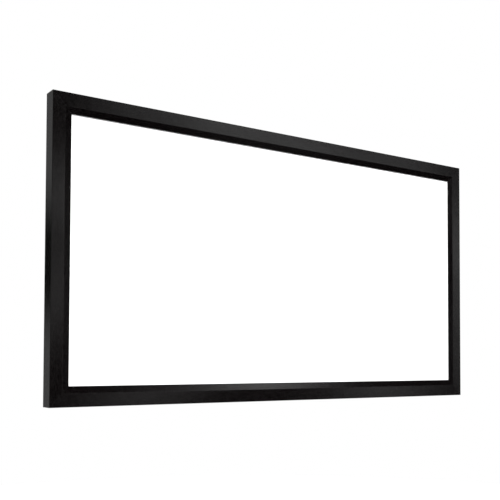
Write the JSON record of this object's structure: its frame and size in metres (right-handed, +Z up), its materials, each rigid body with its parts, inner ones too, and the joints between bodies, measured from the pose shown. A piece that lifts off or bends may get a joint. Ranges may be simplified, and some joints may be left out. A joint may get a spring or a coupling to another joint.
{
  "type": "projector screen",
  "caption": "Wide fixed-frame projector screen: black velvet-faced mitred border round a taut matt white cloth, hung flat on a wall.",
  "frame": {"origin": "middle of the bottom edge, half way through the depth", "axes": "+X along the picture's width, to the right for a viewer; +Y from the picture to the wall; +Z up"},
  "size_m": [2.25, 0.066, 1.205],
  "materials": {
    "rail": "black anodised extrusion, satin",
    "velvet": "black velvet facing with a short matt pile",
    "sheet": "matt white screen cloth, smooth, held taut",
    "rod": "glass-fibre rod, semi-matt",
    "spring": "bright spring wire",
    "angle": "zinc-plated flat steel",
    "bar": "black anodised flat tube",
    "shoe": "black powder coat",
    "screw": "zinc-plated pan head",
    "hanger": "black powder coat",
    "clip": "black powder coat"
  },
  "bodies": {
    "root": {"rail_top": "rail", "rail_right": "rail", "rail_bottom": "rail", "rail_left": "rail", "velvet_top": "velvet", "velvet_right": "velvet", "velvet_bottom": "velvet", "velvet_left": "velvet", "screen_sheet": "sheet", "rod_top": "rod", "rod_right": "rod", "rod_bottom": "rod", "rod_left": "rod", "spring_top_1": "spring", "spring_top_2": "spring", "spring_top_3": "spring", "spring_top_4": "spring", "spring_top_5": "spring", "spring_top_6": "spring", "spring_top_7": "spring", "spring_right_1": "spring", "spring_right_2": "spring", "spring_right_3": "spring", "spring_bottom_1": "spring", "spring_bottom_2": "spring", "spring_bottom_3": "spring", "spring_bottom_4": "spring", "spring_bottom_5": "spring", "spring_bottom_6": "spring", "spring_bottom_7": "spring", "spring_left_1": "spring", "spring_left_2": "spring", "spring_left_3": "spring", "angle_top_left": "angle", "angle_top_right": "angle", "angle_bottom_left": "angle", "angle_bottom_right": "angle", "support_bar": "bar", "bar_shoe_top": "shoe", "tab_screw_top_1": "screw", "cheek_screw_top_1": "screw", "tab_screw_top_2": "screw", "cheek_screw_top_2": "screw", "bar_shoe_bottom": "shoe", "tab_screw_bottom_1": "screw", "cheek_screw_bottom_1": "screw", "tab_screw_bottom_2": "screw", "cheek_screw_bottom_2": "screw", "hanger_left": "hanger", "clip_left": "clip", "hanger_right": "hanger", "clip_right": "clip"}
  },
  "joints": []
}
